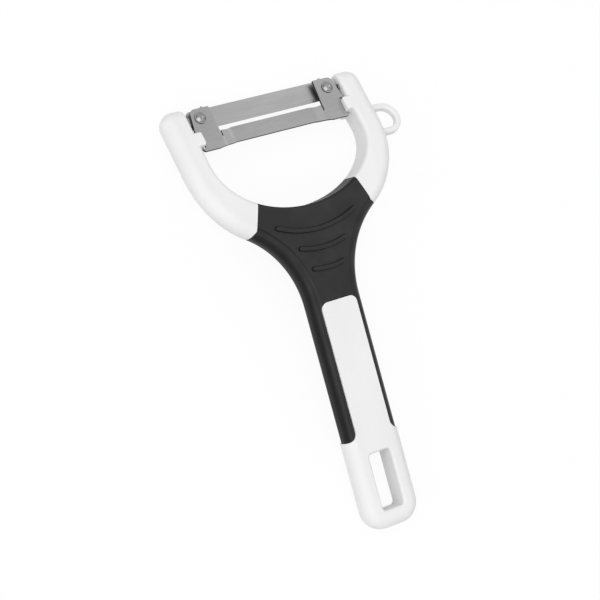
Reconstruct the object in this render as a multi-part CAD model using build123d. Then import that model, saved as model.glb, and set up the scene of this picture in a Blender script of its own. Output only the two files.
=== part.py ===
"""A Y-shaped vegetable peeler: a white fork and handle, a soft black grip, and a swinging steel blade unit.

The handle is drawn straight first, in its own frame: X across, Y towards the blade, Z out of the front
face, with y = 0 at the top of the front window. The fork bends back out of that plane. At the end every
piece is turned and moved together, so that the peeler lies on its back on z = 0 with the blade unit
hanging back against its stops.
"""

from build123d import *
import math
import os

os.makedirs("parts", exist_ok=True)

# Handle, in plan
tip_half = 11.52
tip_end = 86.5
tip_corner = 8.0
white_thickness = 9.9
front_round = 4.3
back_round = 4.4

# Fork, in plan and in its bend
arm_half = 42.39
arm_width = 9.49
arm_round_centre_y = 57.9
arm_outer_radius = 33.54
fork_half = arm_half - arm_width
fork_bottom_rise = 22.9
fork_centre_y = 59.1
fork_round = 1.5
bend_start_y = 32.0
bend_radius = 76.7
head_slope = 23.7
arm_top_above_pivot = 5.7
arm_corner = 4.9
pivot_y = 77.1

# Soft grip
grip_half = 10.97
grip_side_wall = 2.2
grip_face_wall = 1.5
grip_neck_radius = 35.63
core_end_y = 50.0
core_foot = 55.0
window_half = 7.5
window_corner = 2.6
prong_end = 51.8
prong_end_radius = 3.4
shoulder_inner_in = 21.19
shoulder_inner_x = arm_half - shoulder_inner_in
shoulder_inner_y = 41.0
shoulder_corner_in = 17.59
shoulder_corner_x = arm_half - shoulder_corner_in
shoulder_corner_y = 31.6
shoulder_outer_in = 14.89
shoulder_outer_x = arm_half - shoulder_outer_in
shoulder_outer_y = 29.4
groove_in = 2.75
groove_radius = 2.0
groove_depth = 0.75
rib_width = 1.8
rib_height = 0.85
rib_edge = 0.5
rib_root = 0.5
rib_low_y = [26.9, 19.9, 12.3]
rib_chord = [33.0, 18.8, 12.4]
rib_radius = [38.5, 32.0, 28.0]

# Hanging slot in the tip
slot_half = 4.6
slot_top = 58.1
slot_bottom = 79.6
slot_corner = 1.5
slot_front_round = 1.1
slot_back_round = 2.0

# Eye remover, a loop on the right arm
loop_centre_out = 3.1
loop_centre_down = 17.1
loop_outer_radius = 6.5
loop_band = 2.3
loop_thickness = 3.0
loop_depth = 3.2
loop_edge = 0.7

# Stop blocks inside the arms
stop_reach = 2.5
stop_top = 5.85
stop_bottom = 11.3
stop_corner = 0.8
stop_depth = 8.5
stop_edge = 0.7
stop_root = 0.5

# Pivot of the blade unit
plate_depth = 1.6
sheet = 1.0
tongue = 1.3
pin_radius = 1.2
running_clearance = 0.05
pin_engagement = 5.0
bore_end_gap = 0.3
pin_shoulder_gap = 0.3
tongue_half = 1.7
tongue_corner = 0.6
pin_chamfer = 0.3
rest_swing = 4.5

# Carrier: two end plates and the guide bar below the slot, set by the width between the arms
plate_gap = 1.0
plate_outer = fork_half - plate_gap
plate_outer_taper = 1.45
plate_width = 9.8
plate_inner = plate_outer - plate_width
plate_inner_taper = 0.5
plate_top = 4.2
plate_corner = 2.2
nib_in = 6.5
nib_x = plate_outer - nib_in
nib_half = 0.7
nib_height = 0.6
notch_top = 5.0
notch_depth = 1.75
notch_inner = plate_outer - notch_depth
hook_top = 11.55
hook_short = 0.3
hook_reach = plate_outer - hook_short
plate_bottom = 12.8
hook_round = 1.2
bar_top = 5.5
bar_bottom = 11.55
relief_depth = 0.55
relief_in = 2.6
relief_end = plate_inner - relief_in
relief_run = 2.8
relief_round = 1.4
slit_half = 0.25
slit_depth = 2.4
bottom_run = 2.6
bottom_round = 5.0
joggle_depth = 1.2
joggle_run = 4.4
joggle_round = 6.0
joggle_end = plate_inner
joggle_start = joggle_end - joggle_run

# Peeling blade
blade_thickness = 0.6
blade_short = 0.75
blade_half = plate_outer - blade_short
blade_top = 4.5
blade_edge = 3.35
blade_corner = 1.3
bevel_height = 1.3
bevel_land = 0.08
bevel_in = 1.2

# Rivets
rivet_in = 4.5
rivet_x = plate_outer - rivet_in
rivet_rise = 0.3
rivet_radius = 0.9
rivet_fit = 0.04
rivet_flange_radius = 2.35
rivet_flange_height = 0.3
rivet_dome_radius = 1.95
rivet_dome_height = 1.2
rivet_tail_radius = 1.7
rivet_tail_height = 0.6

# How far a cutting shape runs past what it cuts, and how close two places count as one
overrun = 5.0
near = 0.05

# Shares of a length, of a curve or of a unit direction
middle_share = 0.5
rim_shares = (0.1, 0.5, 0.9)
level_share = 0.99


def front_z(y):
    """Height of the front surface at y: level on the handle, an arc over the bend, then a straight slope."""
    slope = math.radians(head_slope)
    bend_end_y = bend_start_y + bend_radius * math.sin(slope)
    if y <= bend_start_y:
        return 0.0
    if y < bend_end_y:
        return math.sqrt(bend_radius**2 - (y - bend_start_y) ** 2) - bend_radius
    return -bend_radius * (1 - math.cos(slope)) - (y - bend_end_y) * math.tan(slope)


def head_frame():
    """The fork head's frame: origin on the front surface at the pivot's height, normal out of the front."""
    slope = math.radians(head_slope)
    origin = (0, pivot_y, front_z(pivot_y))
    return Plane(origin=origin, x_dir=(1, 0, 0), z_dir=(0, math.sin(slope), math.cos(slope))).location


def mirrored(line):
    """A line together with its mirror image across the middle plane."""
    return line + line.mirror(Plane.YZ)


def outer_plan(half, inset):
    """Plan of the handle and the fork filled in, its sides inset alike: lines and tangent arcs."""
    side = half - inset
    arm_radius = arm_outer_radius - inset
    arm_side = arm_half - inset
    arm_x = arm_half - arm_outer_radius
    neck_radius = grip_neck_radius + inset
    neck_x = side + neck_radius
    reach = math.sqrt((neck_radius + arm_radius) ** 2 - (neck_x - arm_x) ** 2)
    neck_y = arm_round_centre_y - reach
    turn = math.degrees(math.atan2(reach, neck_x - arm_x))
    end_y = -tip_end + inset
    corner = tip_corner - inset
    top_y = pivot_y + arm_top_above_pivot + overrun
    outline = Line((0, end_y), (side - corner, end_y))
    outline += CenterArc((side - corner, end_y + corner), corner, -90, 90)
    outline += Line((side, end_y + corner), (side, neck_y))
    outline += CenterArc((neck_x, neck_y), neck_radius, 180, -turn)
    outline += CenterArc((arm_x, arm_round_centre_y), arm_radius, -turn, turn)
    outline += Line((arm_side, arm_round_centre_y), (arm_side, top_y))
    outline += Line((arm_side, top_y), (0, top_y))
    return make_face(mirrored(outline).edges())


def fork_gap(inset):
    """The space between the arms: straight walls, then half an ellipse, all moved outwards by inset."""
    wall = fork_half + inset
    rise = fork_bottom_rise + inset
    top_y = pivot_y + arm_top_above_pivot + overrun * 2
    outline = Line((0, top_y), (wall, top_y)) + Line((wall, top_y), (wall, fork_centre_y))
    outline += EllipticalCenterArc((0, fork_centre_y), wall, rise, start_angle=270, arc_size=90)
    return prism(make_face(mirrored(outline).edges()))


def side_slab(proud):
    """Everything between the front and back surfaces of the side view, both moved outwards by proud."""
    slope = head_slope
    rear = -white_thickness - proud
    low_y = -tip_end - overrun
    centre = (bend_start_y, -bend_radius)
    run = pivot_y
    slope_x = math.sin(math.radians(slope))
    slope_y = math.cos(math.radians(slope))
    outer = bend_radius + proud
    inner = bend_radius - white_thickness - proud
    front_end = (centre[0] + outer * slope_x, centre[1] + outer * slope_y)
    rear_end = (centre[0] + inner * slope_x, centre[1] + inner * slope_y)
    front_far = (front_end[0] + run * slope_y, front_end[1] - run * slope_x)
    rear_far = (rear_end[0] + run * slope_y, rear_end[1] - run * slope_x)
    outline = Line((low_y, proud), (bend_start_y, proud))
    outline += CenterArc(centre, outer, 90, -slope)
    outline += Line(front_end, front_far)
    outline += Line(front_far, rear_far)
    outline += Line(rear_far, rear_end)
    outline += CenterArc(centre, inner, 90 - slope, slope)
    outline += Line((bend_start_y, rear), (low_y, rear))
    outline += Line((low_y, rear), (low_y, proud))
    face = Plane.YZ * make_face(outline.edges())
    return extrude(face, arm_half + overrun, both=True)


def prism(face):
    """A plan face run straight through the whole thickness of the peeler."""
    return extrude(face, bend_radius, both=True)


def below(level):
    """All space below one level of the head, measured up from the pivot."""
    return head_frame() * Pos(0, level - tip_end * 2, 0) * Box(arm_half * 4, tip_end * 4, tip_end * 4)


def low_side(y):
    """All space on the handle's side of y."""
    return Pos(0, y - tip_end * 2, 0) * Box(arm_half * 4, tip_end * 4, tip_end * 4)


def surface_depth(point):
    """How far a place lies behind the front surface, measured square to it."""
    slope = math.radians(head_slope)
    out = Vector(0, point.Y - bend_start_y, point.Z + bend_radius)
    angle = math.atan2(out.Y, out.Z)
    if angle <= 0:
        return -point.Z
    if angle < slope:
        return bend_radius - out.length
    return bend_radius - out.Y * math.sin(slope) - out.Z * math.cos(slope)


def is_seam(edge):
    """True for the smooth lines across the front and back where the bend starts and ends."""
    slope = math.radians(head_slope)
    if abs(edge.tangent_at(middle_share).X) < level_share:
        return False
    out = Vector(0, edge.center().Y - bend_start_y, edge.center().Z + bend_radius)
    off_end = abs(math.atan2(out.Y, out.Z) - slope) * bend_radius
    return abs(out.Y) < near or off_end < near


def rim_edges(body, depth):
    """Edges that run round a surface at one depth behind the front, without the seams of the bend."""
    picked = []
    for edge in body.edges():
        offs = [abs(surface_depth(edge @ share) - depth) for share in rim_shares]
        if max(offs) < near and not is_seam(edge):
            picked.append(edge)
    return picked


def arm_corners(body):
    """Edges through the thickness at the outer corners of the arm tips."""
    top = head_frame().inverse()
    picked = []
    for edge in body.edges():
        place = (top * Pos(*edge.center())).position
        at_top = abs(place.Y - arm_top_above_pivot) < near
        if at_top and abs(abs(place.X) - arm_half) < near and edge.length > white_thickness / 2:
            picked.append(edge)
    return picked


def gap_edges(body):
    """Edges that run round the walls between the arms, without the walls' own seams."""
    picked = []
    for edge in body.edges():
        offs = []
        for share in rim_shares:
            point = edge @ share
            off = abs(point.X) - fork_half
            if point.Y < fork_centre_y:
                down = (point.Y - fork_centre_y) / fork_bottom_rise
                off = (math.hypot(point.X / fork_half, down) - 1) * fork_bottom_rise
            offs.append(abs(off))
        if max(offs) < near and abs(edge.tangent_at(middle_share).Z) < level_share:
            picked.append(edge)
    return picked


def soap_bar(half):
    """The handle with the fork filled in, rounded all round like a bar of soap."""
    body = prism(outer_plan(half, 0)) & side_slab(0) & below(arm_top_above_pivot)
    body = fillet(arm_corners(body), arm_corner)
    body = fillet(rim_edges(body, 0), front_round)
    return fillet(rim_edges(body, white_thickness), back_round)


def forked(body):
    """The rounded bar with the space between the arms cut out and that cut's edges rounded."""
    body = body - fork_gap(0)
    return fillet(gap_edges(body), fork_round)


def grip_plan():
    """Plan of what the soft grip covers: the fork's root and two prongs beside the window."""
    lean = (shoulder_corner_x - shoulder_inner_x) / (shoulder_corner_y - shoulder_inner_y)
    far_y = shoulder_inner_y + overrun * 2
    far_x = shoulder_inner_x + lean * (far_y - shoulder_inner_y)
    fall = (shoulder_outer_y - shoulder_corner_y) / (shoulder_outer_x - shoulder_corner_x)
    wide_x = arm_half
    wide_y = shoulder_corner_y + fall * (wide_x - shoulder_corner_x)
    end_x = window_half + prong_end_radius
    outline = Line((0, far_y), (far_x, far_y))
    outline += Line((far_x, far_y), (shoulder_corner_x, shoulder_corner_y))
    outline += Line((shoulder_corner_x, shoulder_corner_y), (wide_x, wide_y))
    outline += Line((wide_x, wide_y), (wide_x, -prong_end))
    outline += Line((wide_x, -prong_end), (end_x, -prong_end))
    outline += CenterArc((end_x, prong_end_radius - prong_end), prong_end_radius, 270, -90)
    outline += Line((window_half, prong_end_radius - prong_end), (window_half, -window_corner))
    outline += CenterArc((window_half - window_corner, -window_corner), window_corner, 0, 90)
    outline += Line((window_half - window_corner, 0), (0, 0))
    return make_face(mirrored(outline).edges())


def core():
    """The hard core that the grip is moulded over, ending inside the arms and just inside the tip."""
    body = prism(outer_plan(grip_half, grip_side_wall)) & side_slab(-grip_face_wall)
    return ((body - fork_gap(grip_side_wall)) & low_side(core_end_y)) - low_side(-core_foot)


def hanging_slot():
    """The slot through the tip."""
    length = slot_bottom - slot_top
    face = RectangleRounded(slot_half * 2, length, slot_corner)
    return Pos(0, -(slot_top + slot_bottom) / 2, 0) * prism(face)


def loop_solid():
    """The eye remover: a rounded band standing out from the right arm, in the head's own frame."""
    root_x = arm_half - front_round
    centre_x = arm_half + loop_centre_out
    inner = loop_outer_radius - loop_band
    centre = Pos(centre_x, -loop_centre_down)
    root = Pos((root_x + centre_x) / 2, -loop_centre_down)
    ring = centre * Circle(loop_outer_radius) + root * Rectangle(centre_x - root_x, loop_outer_radius * 2)
    ring = ring - centre * Circle(inner) - root * Rectangle(centre_x - root_x, inner * 2)
    solid = Pos(0, 0, -loop_depth - loop_thickness) * extrude(ring, loop_thickness)
    level = []
    for edge in solid.edges():
        flat = abs(edge.tangent_at(middle_share).Z) < middle_share
        if flat and edge.center().X > root_x + near:
            level.append(edge)
    return fillet(level, loop_edge)


def stop_block(side):
    """A block on an arm's inner wall, level with its front, that the end plate's hook comes up against."""
    wall = fork_half + fork_round + stop_root
    reach = wall - fork_half + stop_reach
    face = Rectangle(reach, stop_bottom - stop_top)
    inner = [spot for spot in face.vertices() if spot.X < 0]
    face = Pos(wall - reach / 2, -(stop_top + stop_bottom) / 2) * fillet(inner, stop_corner)
    block = Pos(0, 0, -stop_depth) * extrude(face, stop_depth)
    front = block.faces().sort_by(Axis.Z)[-1]
    block = fillet([edge for edge in front.edges() if edge.center().X < wall - near], stop_edge)
    if side < 0:
        block = block.mirror(Plane.YZ)
    return block


def pivot_depth():
    """Depth of the pivot's axis behind the front surface: half way through the pin's flat tongue."""
    return plate_depth + sheet + tongue / 2


def pin_bore(side):
    """The blind bore in an arm that a pivot pin turns in."""
    length = pin_engagement + bore_end_gap + overrun
    start = fork_half - overrun
    bore = Cylinder(pin_radius + running_clearance, length)
    return Pos(side * (start + length / 2), 0, -pivot_depth()) * Rot(Y=90) * bore


def slotted(body):
    """The tip with its hanging slot cut through and the slot's edges rounded, more at the back."""
    body = body - hanging_slot()
    for depth, round_radius in ((0, slot_front_round), (white_thickness, slot_back_round)):
        rims = [edge for edge in rim_edges(body, depth) if abs(edge.center().X) < slot_half + near]
        rims = [edge for edge in rims if -slot_bottom - near < edge.center().Y < -slot_top + near]
        body = fillet(rims, round_radius)
    return body


def frame(fork):
    """The white moulding: fork, core, window panel, tip with its slot, loop and stop blocks."""
    zone = prism(grip_plan())
    low = low_side(bend_start_y / 2)
    arms = fork - low - zone
    handle = (slotted(soap_bar(tip_half)) & low) - zone
    body = core() + arms + handle
    head = head_frame()
    body = body + (head * loop_solid())
    for side in (-1, 1):
        body = body + (head * stop_block(side))
        body = body - (head * pin_bore(side))
    return body


def groove():
    """Cutter for the shallow groove inside the right edge of the grip's front: a rod along the outline."""
    side = grip_half - groove_in
    arm_radius = arm_outer_radius - groove_in
    arm_x = arm_half - arm_outer_radius
    neck_radius = grip_neck_radius + groove_in
    neck_x = side + neck_radius
    reach = math.sqrt((neck_radius + arm_radius) ** 2 - (neck_x - arm_x) ** 2)
    neck_y = arm_round_centre_y - reach
    turn = math.degrees(math.atan2(reach, neck_x - arm_x))
    path = Line((side, -tip_end), (side, neck_y)) + CenterArc((neck_x, neck_y), neck_radius, 180, -turn)
    section = Plane(origin=(side, -tip_end, 0), z_dir=(0, 1, 0)) * Circle(groove_radius)
    return Pos(0, 0, groove_radius - groove_depth) * sweep(section, path=Wire(path.edges()))


def rib(low_y, chord, radius):
    """A raised rib on the front of the grip, bent like a smile and rounded along its top."""
    half_turn = math.degrees(math.asin(chord / 2 / radius))
    arc = CenterArc((0, low_y + radius), radius, 270 - half_turn, half_turn * 2)
    bar = extrude(SlotArc(arc, rib_width), rib_height + rib_root)
    top = bar.faces().sort_by(Axis.Z)[-1]
    bar = fillet(top.edges(), rib_edge)
    return Pos(0, 0, -rib_root) * bar


def soft_grip(fork):
    """The overmould: everything between the core and the outside, plus the ribs."""
    body = (fork & prism(grip_plan())) - core()
    rod = groove()
    body = body - rod - rod.mirror(Plane.YZ)
    for low_y, chord, radius in zip(rib_low_y, rib_chord, rib_radius):
        body = body + rib(low_y, chord, radius)
    return body


def bent_sheet(front, depth, thickness, start, end, bend):
    """A strip of sheet seen along the head, stepping by depth between start and end, bent to one radius."""
    wide = arm_half
    tall = plate_bottom * 4
    outline = Polyline(
        (0, front - depth),
        (start, front - depth),
        (end, front),
        (wide, front),
        (wide, front - thickness),
        (end, front - thickness),
        (start, front - depth - thickness),
        (0, front - depth - thickness),
    )
    face = make_face(mirrored(outline).edges())
    corners = [corner for corner in face.vertices() if near < abs(corner.X) < wide - near]
    return extrude(Plane.XZ * fillet(corners, bend), tall, both=True)


def carrier_outline():
    """Front view of the carrier: a tapered plate with notch and hook on each side, the bar between them."""
    bar_start = relief_end - bottom_run
    outline = Polyline(
        (0, -bar_top),
        (relief_end - relief_run, -bar_top),
        (relief_end, -bar_top - relief_depth),
        (plate_inner, -bar_top - relief_depth),
        (plate_inner + plate_inner_taper, plate_top),
        (nib_x - nib_half, plate_top),
        (nib_x, plate_top + nib_height),
        (nib_x + nib_half, plate_top),
        (plate_outer - plate_outer_taper, plate_top),
        (plate_outer, -notch_top),
        (notch_inner, -notch_top),
        (notch_inner, -hook_top),
        (hook_reach, -hook_top),
        (hook_reach, -plate_bottom),
        (plate_inner + bottom_run, -plate_bottom),
        (bar_start, -bar_bottom),
        (0, -bar_bottom),
    )
    face = make_face(mirrored(outline).edges())
    rounds = (
        (relief_end - relief_run, -bar_top, relief_round),
        (relief_end, -bar_top - relief_depth, relief_round),
        (plate_outer - plate_outer_taper, plate_top, plate_corner),
        (hook_reach, -plate_bottom, hook_round),
        (bar_start, -bar_bottom, bottom_round),
    )
    for across, up, radius in rounds:
        spots = [spot for spot in face.vertices() if math.hypot(abs(spot.X) - across, spot.Y - up) < near]
        face = fillet(spots, radius)
    slit = Rectangle(slit_half * 2, slit_depth * 2)
    for side in (-1, 1):
        face = face - Pos(side * (plate_inner - slit_half), -bar_top - relief_depth) * slit
    return face


def rivet_hole(side):
    """Hole for a rivet through plate, tongue and blade."""
    return Pos(side * rivet_x, rivet_rise, -pivot_depth()) * Cylinder(rivet_radius + rivet_fit, overrun * 2)


def blade_carrier():
    """End plates and guide bar pressed from one sheet."""
    strip = bent_sheet(-plate_depth, joggle_depth, sheet, joggle_start, joggle_end, joggle_round)
    body = prism(carrier_outline()) & strip
    for side in (-1, 1):
        body = body - rivet_hole(side)
    return body


def peeling_blade():
    """The flat upper sheet, behind the end plates, ground to an edge along the slot."""
    height = blade_top + blade_edge
    face = RectangleRounded(blade_half * 2, height, blade_corner)
    face = Pos(0, (blade_top - blade_edge) / 2) * face
    level = -plate_depth - sheet - tongue
    body = Pos(0, 0, level - blade_thickness) * extrude(face, blade_thickness)
    outline = Polyline(
        (-blade_edge - overrun, level + overrun),
        (-blade_edge - overrun, level - blade_thickness + bevel_land),
        (-blade_edge, level - blade_thickness + bevel_land),
        (-blade_edge + bevel_height, level),
        (-blade_edge + bevel_height, level + overrun),
        close=True,
    )
    wedge = extrude(Plane.YZ * make_face(outline.edges()), plate_inner - bevel_in, both=True)
    body = body - wedge
    for side in (-1, 1):
        body = body - rivet_hole(side)
    return body


def rivet(side):
    """A rivet: flange and dome in front of the plate, shank through the stack, flat head behind."""
    front = -plate_depth
    rear = front - sheet - tongue - blade_thickness
    flange = front + rivet_flange_height
    outline = Polyline(
        (0, rear - rivet_tail_height),
        (rivet_tail_radius, rear - rivet_tail_height),
        (rivet_tail_radius, rear),
        (rivet_radius, rear),
        (rivet_radius, front),
        (rivet_flange_radius, front),
        (rivet_flange_radius, flange),
        (rivet_dome_radius, flange),
    )
    rise = rivet_dome_height - rivet_flange_height
    dome_radius = (rivet_dome_radius**2 + rise**2) / (rise * 2)
    turn = math.degrees(math.asin(rivet_dome_radius / dome_radius))
    outline = outline + CenterArc((0, flange + rise - dome_radius), dome_radius, 90 - turn, turn)
    outline = outline + Line((0, flange + rise), (0, rear - rivet_tail_height))
    body = revolve(Plane.XZ * make_face(outline.edges()), Axis.Z)
    return Pos(side * rivet_x, rivet_rise, 0) * body


def pivot_pin(side):
    """A stud: round shank in the arm, flattened tongue under the rivet."""
    shank_start = plate_outer + pin_shoulder_gap
    shank_end = fork_half + pin_engagement
    tongue_start = rivet_x - rivet_flange_radius
    shank = Cylinder(pin_radius, shank_end - shank_start)
    shank = Pos((shank_start + shank_end) / 2, 0, 0) * Rot(Y=90) * shank
    ends = [edge for edge in shank.edges() if edge.center().X > shank_end - near]
    shank = chamfer(ends, pin_chamfer)
    length = shank_start + pin_shoulder_gap - tongue_start
    face = RectangleRounded(length, tongue_half * 2, tongue_corner)
    flat = Pos((tongue_start + length / 2), 0, -tongue / 2) * extrude(face, tongue)
    outer = Cylinder(pin_radius, length * 2)
    flat_end = Pos(shank_start + length, 0, 0) * Box(length * 2, pin_radius * 4, pin_radius * 4)
    neck = (flat & flat_end) & (Pos(shank_start, 0, 0) * Rot(Y=90) * outer)
    body = shank + (flat - flat_end) + neck
    body = Pos(0, 0, -pivot_depth()) * body
    if side < 0:
        body = body.mirror(Plane.YZ)
    return body - rivet_hole(side)


def swung(piece):
    """Moves a piece of the blade unit from the head's frame to its place, hanging back at rest."""
    axis = Pos(0, 0, -pivot_depth())
    return head_frame() * axis * Rot(X=rest_swing) * axis.inverse() * piece


def lean_angle():
    """Turn about X that lays the backs of the arm tips and of the tip's end on one level."""
    slope = math.radians(head_slope)
    top = arm_top_above_pivot - back_round
    arm_y = pivot_y + top * math.cos(slope) - (white_thickness - back_round) * math.sin(slope)
    arm_z = front_z(pivot_y) - top * math.sin(slope) - (white_thickness - back_round) * math.cos(slope)
    tip_y = back_round - tip_end
    tip_z = back_round - white_thickness
    return math.degrees(math.atan2(tip_z - arm_z, arm_y - tip_y))


def main():
    fork = forked(soap_bar(grip_half))
    pieces = {"frame": frame(fork), "soft_grip": soft_grip(fork)}
    pieces["blade_carrier"] = swung(blade_carrier())
    pieces["peeling_blade"] = swung(peeling_blade())
    for side, name in ((-1, "left"), (1, "right")):
        pieces["rivet_" + name] = swung(rivet(side))
        pieces["pivot_pin_" + name] = swung(pivot_pin(side))
    lean = Rot(X=lean_angle())
    pieces = {name: lean * shape for name, shape in pieces.items()}
    box = Compound([solid for shape in pieces.values() for solid in shape.solids()]).bounding_box()
    shift = Pos(-box.center().X, -box.center().Y, -box.min.Z)
    for name, shape in pieces.items():
        placed = shift * shape
        print(name, round(placed.volume), placed.is_valid, len(placed.solids()))
        export_step(placed, "parts/" + name + ".step")


main()
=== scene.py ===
"""A Y-shaped vegetable peeler on a white table.

It has a hard white fork and handle, a black soft grip and a swinging steel blade unit. The peeler's pieces
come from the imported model. This file gives them their finishes, and adds the table, the lamps and the camera.
"""

import math

import bpy
import numpy as np
from mathutils import Matrix, Vector

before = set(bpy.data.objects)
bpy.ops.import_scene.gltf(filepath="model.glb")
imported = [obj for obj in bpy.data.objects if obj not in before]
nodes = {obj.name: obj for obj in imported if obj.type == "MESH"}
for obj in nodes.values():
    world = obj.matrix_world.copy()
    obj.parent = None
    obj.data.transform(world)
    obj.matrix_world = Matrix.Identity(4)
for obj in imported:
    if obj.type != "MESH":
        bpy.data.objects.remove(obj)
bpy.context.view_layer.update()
scene = bpy.context.scene

# Colours, as linear red, green and blue, and opacity
WHITE_PLASTIC = (0.86, 0.86, 0.865, 1)
WHITE_FLOW = (0.82, 0.82, 0.825, 1)
GRIP_FACE = (0.018, 0.018, 0.019, 1)
GRIP_WORN = (0.028, 0.028, 0.029, 1)
# Painted shade: the near black that the grip's side walls are darkened to
GRIP_SIDE_SHADE = (0.001, 0.001, 0.0014, 1)
PLATE_STEEL = (0.435, 0.435, 0.435, 1)
PLATE_STREAK = (0.37, 0.37, 0.37, 1)
BLADE_STEEL = (0.485, 0.485, 0.485, 1)
BLADE_STREAK = (0.43, 0.43, 0.43, 1)
# Painted shade: the near black of the steel's edges and the rivets' rims
STEEL_EDGE_SHADE = (0.05, 0.05, 0.05, 1)
RIVET = (0.44, 0.44, 0.435, 1)
RIVET_MARK = (0.28, 0.28, 0.28, 1)
TABLE_SEEN = (0.97, 0.97, 0.97, 1)
TABLE_BOUNCE = (0.78, 0.78, 0.78, 1)

# Gloss: the roughness of a surface, or the two values it runs between, and how strongly it reflects
WHITE_ROUGHNESS = (0.36, 0.46)
WHITE_SPECULAR = 0.4
GRIP_ROUGHNESS = (0.46, 0.38)
GRIP_SPECULAR = 0.27
PLATE_ROUGHNESS = 0.38
BLADE_ROUGHNESS = 0.34
STAIN_SMOOTHER = 0.03
STAIN_ROUGHER = 0.06
STEEL_ANISOTROPY = 0.3
RIVET_ROUGHNESS = (0.16, 0.28)

# Patterns of fractal noise: scale, for coordinates in metres, then detail and roughness of the noise
FLOW_MARKS = (60, 4, 0.5)
WHITE_SHEEN = (420, 3, 0.5)
WHITE_WAVES = (70, 2, 0.5)
WHITE_SKIN = (5200, 2, 0.5)
GRIP_WEAR = (90, 5, 0.6)
GRIP_COARSE = (1700, 3, 0.6)
GRIP_FINE = (5000, 2, 0.5)
SCRATCHES = (2600, 4, 0.6)
STAINS = (140, 4, 0.5)
TOOL_MARKS = (900, 4, 0.6)

# Stretch of a pattern along X, Y and Z
FLOW_STRETCH = (1, 0.35, 1)
SCRATCH_STRETCH = (0.06, 1, 1)

# The values of a pattern between which one colour or gloss gives way to the other
FLOW_SPAN = (0.35, 0.65)
GRIP_WORN_SPAN = (0.4, 0.7)
GRIP_GLOSS_SPAN = (0.3, 0.7)
SCRATCH_SPAN = (0.3, 0.7)
STAIN_SPAN = (0.3, 0.7)
TOOL_SPAN = (0.35, 0.65)

# How squarely a spot faces a direction: fully an edge at the first value, fully a face at the second
# These spans lay painted shade on the grip's sides, the steel's edges and the rivets' rims
GRIP_SHADE_SPAN = (0.55, 0.97)
EDGE_SHADE_SPAN = (0.25, 0.8)
RIM_SHADE_SPAN = (0.35, 0.85)

# Relief of a pattern: strength, and height in metres
WAVES_RELIEF = (0.08, 0.0004)
SKIN_RELIEF = (0.08, 0.00003)
COARSE_RELIEF = (0.2, 0.0001)
FINE_RELIEF = (0.14, 0.00005)
SCRATCH_RELIEF = (0.05, 0.00002)
TOOL_RELIEF = (0.08, 0.00008)

# Directions that a face looks in: the front of the grip, and the sheet of the blade unit at rest
GRIP_FRONT = (0, 0, 1)
SHEET_NORMAL = (0, 0.252, 0.968)

# Surroundings: half the table's width in metres, how much of its paleness to the camera is glow, how strongly
# gloss shows the pale background, and the room's light at its walls, overhead and behind the picture
TABLE_HALF = 8.0
TABLE_GLOW = 0.92
PALE_IN_GLOSS = 0.4
WALL_LIGHT = 0.36
CEILING_LIGHT = 0.88
BACKGROUND_LIGHT = 1.0

# Placement of the handle's own frame in this one, for the camera: the lean of the handle as it lies, in
# degrees, and the place of the handle's origin, in metres
LEAN = 4.6233
ORIGIN = (-0.0048, 0.00189636, 0.01649978)

# Camera: sensor and lens in millimetres, nearest and farthest sight in metres, then how the handle lies
# before it, as turns about Z, X and Y in radians and a shift in metres
SENSOR = 36
LENS = 108
NEAREST = 0.01
FARTHEST = 20
TURN_Z = 0.267
TURN_X = 0.057
TURN_Y = 0.4887
SHIFT = (0.01392, 0.000391, -0.657)

# Places of a Mix node's sockets, whose names repeat: share, two numbers, two colours, and the two results
MIX_SHARE = 0
MIX_NUMBERS = (2, 3)
MIX_COLOURS = (6, 7)
MIXED_NUMBER = 0
MIXED_COLOUR = 2


def feed(tree, value, slot):
    """Links value to slot if it is another node's output, and else sets slot to it."""
    if isinstance(value, bpy.types.NodeSocket):
        tree.links.new(value, slot)
    else:
        slot.default_value = value


def material(name, metallic=0.0, specular=0.5):
    """An empty Principled material and the handles needed to build on it."""
    made = bpy.data.materials.new(name)
    made.use_nodes = True
    tree = made.node_tree
    shader = next(n for n in tree.nodes if n.type == "BSDF_PRINCIPLED")
    shader.inputs["Metallic"].default_value = metallic
    shader.inputs["Specular IOR Level"].default_value = specular
    return made, tree, shader


def place_pattern(tree, stretch=(1, 1, 1)):
    """Object coordinates times stretch along X, Y and Z, for patterns measured in metres."""
    where = tree.nodes.new("ShaderNodeTexCoord")
    made = tree.nodes.new("ShaderNodeMapping")
    made.inputs["Scale"].default_value = stretch
    tree.links.new(where.outputs["Object"], made.inputs["Vector"])
    return made.outputs["Vector"]


def noise(tree, vector, scale, detail, rough):
    """Fractal noise on a vector, as one number from 0 to 1."""
    made = tree.nodes.new("ShaderNodeTexNoise")
    made.inputs["Scale"].default_value = scale
    made.inputs["Detail"].default_value = detail
    made.inputs["Roughness"].default_value = rough
    tree.links.new(vector, made.inputs["Vector"])
    return made.outputs["Fac"]


def ramp(tree, value, start, end, span=(0.0, 1.0)):
    """A number that runs from start to end as value crosses span, and holds at both ends."""
    made = tree.nodes.new("ShaderNodeMapRange")
    made.inputs["From Min"].default_value = span[0]
    made.inputs["From Max"].default_value = span[1]
    made.inputs["To Min"].default_value = start
    made.inputs["To Max"].default_value = end
    tree.links.new(value, made.inputs["Value"])
    return made.outputs["Result"]


def tint(tree, share, first, second):
    """A colour that runs from first to second as share goes from 0 to 1."""
    made = tree.nodes.new("ShaderNodeMix")
    made.data_type = "RGBA"
    feed(tree, share, made.inputs[MIX_SHARE])
    for place, colour in zip(MIX_COLOURS, (first, second)):
        feed(tree, colour, made.inputs[place])
    return made.outputs[MIXED_COLOUR]


def calculate(tree, operation, *values):
    """One Math node on numbers or other nodes' outputs."""
    made = tree.nodes.new("ShaderNodeMath")
    made.operation = operation
    for value, slot in zip(values, made.inputs):
        feed(tree, value, slot)
    return made.outputs["Value"]


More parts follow.
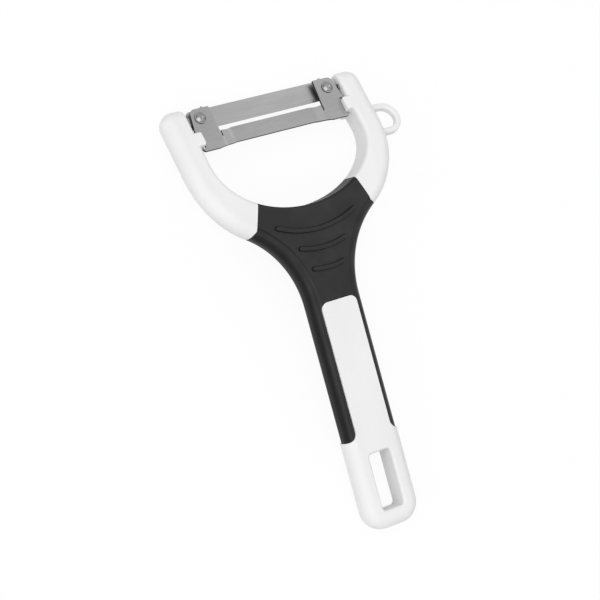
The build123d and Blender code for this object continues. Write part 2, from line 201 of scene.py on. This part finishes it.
def bump(tree, shader, height, strength, distance, before=None):
    """Raises the surface by height, on top of an earlier bump if there is one."""
    made = tree.nodes.new("ShaderNodeBump")
    made.inputs["Strength"].default_value = strength
    made.inputs["Distance"].default_value = distance
    tree.links.new(height, made.inputs["Height"])
    if before is not None:
        tree.links.new(before, made.inputs["Normal"])
    tree.links.new(made.outputs["Normal"], shader.inputs["Normal"])
    return made.outputs["Normal"]


def facing(tree, normal):
    """How squarely a spot faces along normal, or against it: 1 where it does, 0 where it lies edge-on."""
    where = tree.nodes.new("ShaderNodeTexCoord")
    product = tree.nodes.new("ShaderNodeVectorMath")
    product.operation = "DOT_PRODUCT"
    product.inputs[1].default_value = normal
    tree.links.new(where.outputs["Normal"], product.inputs[0])
    return calculate(tree, "ABSOLUTE", product.outputs["Value"])


def edge(tree, normal, span):
    """1 on the edges of a piece whose faces look along normal, and 0 on those faces."""
    return ramp(tree, facing(tree, normal), 1, 0, span)


def white_plastic():
    """Moulded white plastic: faint flow marks, a fine skin and a slow waviness under the gloss."""
    made, tree, shader = material("hard white plastic", specular=WHITE_SPECULAR)
    even = place_pattern(tree)
    flow = place_pattern(tree, FLOW_STRETCH)
    marks = ramp(tree, noise(tree, flow, *FLOW_MARKS), 0, 1, FLOW_SPAN)
    feed(tree, tint(tree, marks, WHITE_PLASTIC, WHITE_FLOW), shader.inputs["Base Color"])
    sheen = noise(tree, even, *WHITE_SHEEN)
    feed(tree, ramp(tree, sheen, *WHITE_ROUGHNESS), shader.inputs["Roughness"])
    waves = bump(tree, shader, noise(tree, even, *WHITE_WAVES), *WAVES_RELIEF)
    bump(tree, shader, noise(tree, even, *WHITE_SKIN), *SKIN_RELIEF, waves)
    return made


def black_rubber():
    """Soft black overmould, grained, greyer where hands have rubbed it, with painted shade on its sides."""
    made, tree, shader = material("soft black grip", specular=GRIP_SPECULAR)
    even = place_pattern(tree)
    wear = noise(tree, even, *GRIP_WEAR)
    front = tint(tree, ramp(tree, wear, 0, 1, GRIP_WORN_SPAN), GRIP_FACE, GRIP_WORN)
    # Painted shade: the side walls, turned away from the front, are darkened nearly to black
    side = edge(tree, GRIP_FRONT, GRIP_SHADE_SPAN)
    feed(tree, tint(tree, side, front, GRIP_SIDE_SHADE), shader.inputs["Base Color"])
    feed(tree, ramp(tree, wear, *GRIP_ROUGHNESS, GRIP_GLOSS_SPAN), shader.inputs["Roughness"])
    coarse = bump(tree, shader, noise(tree, even, *GRIP_COARSE), *COARSE_RELIEF)
    bump(tree, shader, noise(tree, even, *GRIP_FINE), *FINE_RELIEF, coarse)
    return made


def sheet_steel(name, light, dark, roughness):
    """Rolled sheet: fine scratches along its length, stains in the gloss, and painted shade on its edges."""
    made, tree, shader = material(name, metallic=1.0)
    even = place_pattern(tree)
    grain = noise(tree, place_pattern(tree, SCRATCH_STRETCH), *SCRATCHES)
    stains = noise(tree, even, *STAINS)
    face = tint(tree, ramp(tree, grain, 0, 1, SCRATCH_SPAN), dark, light)
    # Painted shade: edges turned away from the sheet's face are darkened nearly to black
    edge_shade = edge(tree, SHEET_NORMAL, EDGE_SHADE_SPAN)
    feed(tree, tint(tree, edge_shade, face, STEEL_EDGE_SHADE), shader.inputs["Base Color"])
    gloss = ramp(tree, stains, roughness - STAIN_SMOOTHER, roughness + STAIN_ROUGHER, STAIN_SPAN)
    feed(tree, gloss, shader.inputs["Roughness"])
    bump(tree, shader, grain, *SCRATCH_RELIEF)
    shader.inputs["Anisotropic"].default_value = STEEL_ANISOTROPY
    return made


def rivet_steel():
    """Bright formed steel with small tool marks and painted shade around its rim."""
    made, tree, shader = material("bright rivet steel", metallic=1.0)
    marks = noise(tree, place_pattern(tree), *TOOL_MARKS)
    face = tint(tree, ramp(tree, marks, 0, 1, TOOL_SPAN), RIVET_MARK, RIVET)
    # Painted shade: the rim, where the rivet turns away from the sheet, is darkened nearly to black
    rim_shade = edge(tree, SHEET_NORMAL, RIM_SHADE_SPAN)
    feed(tree, tint(tree, rim_shade, face, STEEL_EDGE_SHADE), shader.inputs["Base Color"])
    feed(tree, ramp(tree, marks, *RIVET_ROUGHNESS), shader.inputs["Roughness"])
    bump(tree, shader, marks, *TOOL_RELIEF)
    return made


def dress(node, made):
    """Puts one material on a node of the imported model."""
    piece = nodes[node]
    piece.data.materials.clear()
    piece.data.materials.append(made)
    for polygon in piece.data.polygons:
        polygon.material_index = 0


def seen_directly(tree):
    """1 for what the camera sees, PALE_IN_GLOSS for what gloss or glass shows, and 0 for all else."""
    path = tree.nodes.new("ShaderNodeLightPath")
    gloss, glass = path.outputs["Is Glossy Ray"], path.outputs["Is Transmission Ray"]
    mirror = calculate(tree, "MAXIMUM", gloss, glass)
    weaker = calculate(tree, "MULTIPLY", mirror, PALE_IN_GLOSS)
    return calculate(tree, "MAXIMUM", path.outputs["Is Camera Ray"], weaker)


def table():
    """A wide white table under the peeler, paler to the camera than to the peeler, and keeping its shadow.

    A grid of two by two points: X and Y each run from minus half to half as u and v go from 0 to 1, and Z
    is 0.
    """
    u, v = np.meshgrid((0.0, 1.0), (0.0, 1.0))
    half = TABLE_HALF
    points = np.stack((half * (2 * u - 1), half * (2 * v - 1), u * 0), axis=-1).reshape(-1, 3)
    mesh = bpy.data.meshes.new("table")
    mesh.from_pydata(points.tolist(), [], [(0, 1, 3, 2)])
    piece = bpy.data.objects.new("table", mesh)
    scene.collection.objects.link(piece)
    made = bpy.data.materials.new("white table")
    made.use_nodes = True
    tree = made.node_tree
    tree.nodes.clear()
    out = tree.nodes.new("ShaderNodeOutputMaterial")
    seen = seen_directly(tree)
    matt = tree.nodes.new("ShaderNodeBsdfDiffuse")
    feed(tree, tint(tree, seen, TABLE_BOUNCE, TABLE_SEEN), matt.inputs["Color"])
    glow = tree.nodes.new("ShaderNodeEmission")
    both = tree.nodes.new("ShaderNodeMixShader")
    parts = (ramp(tree, seen, 0, TABLE_GLOW), matt.outputs[0], glow.outputs[0])
    for part, slot in zip(parts, both.inputs):
        feed(tree, part, slot)
    feed(tree, both.outputs[0], out.inputs["Surface"])
    mesh.materials.append(made)


def lamp(name, place, target, size, power):
    """A square soft lamp at place, facing target: size in metres, power in watts."""
    data = bpy.data.lights.new(name, "AREA")
    data.shape = "SQUARE"
    data.size = size
    data.energy = power
    piece = bpy.data.objects.new(name, data)
    piece.location = place
    piece.rotation_euler = (Vector(target) - Vector(place)).to_track_quat("-Z", "Y").to_euler()
    scene.collection.objects.link(piece)


def light():
    """A pale room, brighter overhead, with a large soft lamp on the left and a small one on the right."""
    world = bpy.data.worlds.new("pale room")
    scene.world = world
    world.use_nodes = True
    tree = world.node_tree
    back = next(n for n in tree.nodes if n.type == "BACKGROUND")
    where = tree.nodes.new("ShaderNodeTexCoord")
    parts = tree.nodes.new("ShaderNodeSeparateXYZ")
    tree.links.new(where.outputs["Generated"], parts.inputs[0])
    room = ramp(tree, parts.outputs["Z"], WALL_LIGHT, CEILING_LIGHT)
    white = tree.nodes.new("ShaderNodeMix")
    feed(tree, seen_directly(tree), white.inputs[MIX_SHARE])
    for place, strength in zip(MIX_NUMBERS, (room, BACKGROUND_LIGHT)):
        feed(tree, strength, white.inputs[place])
    back.inputs["Color"].default_value = (1, 1, 1, 1)
    feed(tree, white.outputs[MIXED_NUMBER], back.inputs["Strength"])
    lamp("key", place=(-0.78, 0.0, 0.95), target=(0, 0, 0), size=1.5, power=8.3)
    lamp("spark", place=(0.73, 0.43, 0.57), target=(0, 0.07, 0), size=0.12, power=0.45)


def camera():
    """The photograph's view: a long lens, turned 28 degrees to the side and 15 degrees on its own axis."""
    data = bpy.data.cameras.new("view")
    data.sensor_width = SENSOR
    data.lens = LENS
    data.clip_start = NEAREST
    data.clip_end = FARTHEST
    turns = ((TURN_Z, "Z"), (TURN_X, "X"), (TURN_Y, "Y"))
    about_z, about_x, about_y = (Matrix.Rotation(turn, 4, axis) for turn, axis in turns)
    before_camera = Matrix.Translation(SHIFT) @ about_z @ about_x @ about_y
    handle = Matrix.Translation(ORIGIN) @ Matrix.Rotation(math.radians(LEAN), 4, "X")
    piece = bpy.data.objects.new("view", data)
    piece.matrix_world = handle @ before_camera.inverted()
    scene.collection.objects.link(piece)
    scene.camera = piece


white = white_plastic()
black = black_rubber()
sheet = sheet_steel("pressed steel", PLATE_STEEL, PLATE_STREAK, PLATE_ROUGHNESS)
ground = sheet_steel("ground blade steel", BLADE_STEEL, BLADE_STREAK, BLADE_ROUGHNESS)
bright = rivet_steel()
for node, made in (
    ("frame", white),
    ("soft_grip", black),
    ("blade_carrier", sheet),
    ("peeling_blade", ground),
    ("rivet_left", bright),
    ("rivet_right", bright),
    ("pivot_pin_left", bright),
    ("pivot_pin_right", bright),
):
    dress(node, made)
table()
light()
camera()
scene.view_settings.view_transform = "Standard"
